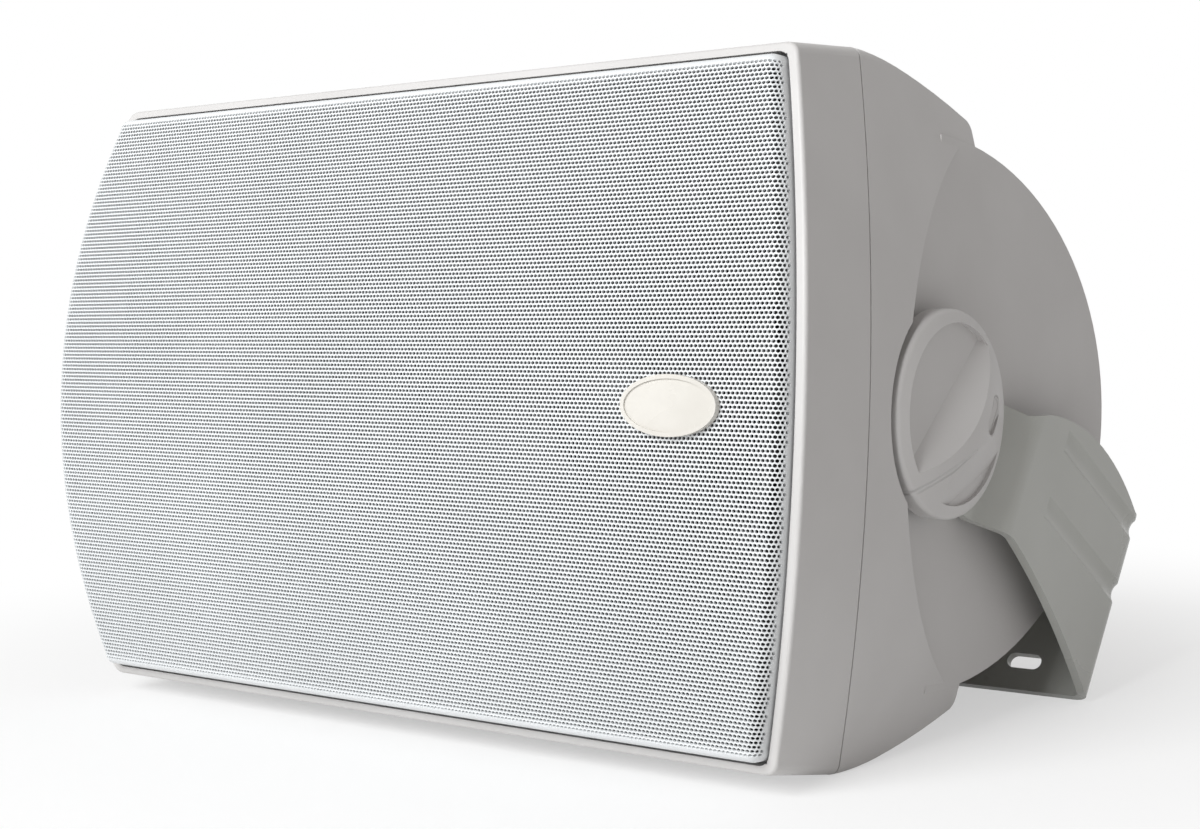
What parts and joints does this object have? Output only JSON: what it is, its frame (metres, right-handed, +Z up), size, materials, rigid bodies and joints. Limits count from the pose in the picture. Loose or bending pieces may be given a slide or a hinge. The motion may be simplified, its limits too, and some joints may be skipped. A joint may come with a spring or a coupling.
{
  "type": "outdoor patio speaker",
  "caption": "Two-way outdoor speaker: bowed perforated grille in a moulded frame, rounded rear cabinet, and a swivelling steel wall bracket clamped by end knobs.",
  "frame": {"origin": "middle of the footprint, on the surface that the speaker stands on", "axes": "+X along the speaker's length to the right seen from the front, +Y to the back, +Z up"},
  "size_m": [0.3484, 0.2156, 0.2175],
  "materials": {
    "cabinet_plastic": "satin moulded, fine grain",
    "grille_paint": "powder coat over perforated steel",
    "badge_cream": "gloss moulded",
    "bracket_paint": "powder coat",
    "black_rubber": "matt",
    "steel": "zinc plated",
    "black_plastic": "fine texture",
    "cone_graphite": "satin",
    "spider_cloth": "impregnated cloth",
    "copper_winding": "enamelled wire",
    "ferrite": "matt",
    "aluminium_foil": "bright",
    "board_green": "solder mask",
    "red_plastic": "gloss",
    "brass_metal": "turned",
    "capacitor_sleeve": "shrink sleeve"
  },
  "bodies": {
    "cabinet": {"badge": "badge_cream", "cabinet_gasket": "black_rubber", "cabinet_screws": "steel", "capacitor_lower": "capacitor_sleeve", "capacitor_upper": "capacitor_sleeve", "choke_left": "copper_winding", "choke_right": "copper_winding", "crossover_board": "board_green", "friction_washer_left": "black_rubber", "friction_washer_right": "black_rubber", "front_baffle": "cabinet_plastic", "grille": "grille_paint", "horn": "black_plastic", "horn_screws": "steel", "pivot_insert_left": "brass_metal", "pivot_insert_right": "brass_metal", "port_tube_lower": "black_plastic", "port_tube_upper": "black_plastic", "post_stud_black": "brass_metal", "post_stud_red": "brass_metal", "rear_cabinet": "cabinet_plastic", "resistor": "black_plastic", "terminal_cup": "black_plastic", "terminal_gasket": "black_rubber", "terminal_screws": "steel", "tweeter_back_plate": "steel", "tweeter_diaphragm": "aluminium_foil", "tweeter_magnet": "ferrite", "tweeter_plate": "steel", "woofer_back_plate": "steel", "woofer_basket": "black_plastic", "woofer_gasket": "black_rubber", "woofer_magnet": "ferrite", "woofer_screws": "steel", "woofer_spider": "spider_cloth", "woofer_surround": "black_rubber", "woofer_top_plate": "steel"},
    "bracket": {"bracket": "bracket_paint"},
    "cone": {"woofer_cone": "cone_graphite", "woofer_dust_cap": "cone_graphite", "woofer_voice_coil": "copper_winding"},
    "knob_left": {"knob_left": "cabinet_plastic", "knob_stud_left": "steel"},
    "knob_right": {"knob_right": "cabinet_plastic", "knob_stud_right": "steel"},
    "post_cap_red": {"post_cap_red": "red_plastic"},
    "post_cap_black": {"post_cap_black": "black_plastic"}
  },
  "joints": [
    {"name": "bracket_tilt", "type": "hinge", "parent": "cabinet", "child": "bracket", "pos_m": [0, -0.01921, 0.10557], "axis": [1, 0, 0], "range_deg": [-45, 105]},
    {"name": "knob_left_turn", "type": "hinge", "parent": "cabinet", "child": "knob_left", "pos_m": [-0.165, -0.01921, 0.10557], "axis": [-1, 0, 0], "range_deg": [0, 270]},
    {"name": "knob_right_turn", "type": "hinge", "parent": "cabinet", "child": "knob_right", "pos_m": [0.165, -0.01921, 0.10557], "axis": [1, 0, 0], "range_deg": [0, 270]},
    {"name": "woofer_stroke", "type": "slide", "parent": "cabinet", "child": "cone", "axis": [0, -0.9946, 0.104], "range_m": [-0.004, 0.004], "deforming": ["woofer_surround", "woofer_spider"]},
    {"name": "post_cap_red_turn", "type": "hinge", "parent": "cabinet", "child": "post_cap_red", "pos_m": [0.019, 0.07368, 0.09585], "axis": [0, 0.9946, -0.104], "range_deg": [0, 360]},
    {"name": "post_cap_black_turn", "type": "hinge", "parent": "cabinet", "child": "post_cap_black", "pos_m": [-0.019, 0.07368, 0.09585], "axis": [0, 0.9946, -0.104], "range_deg": [0, 360]}
  ]
}
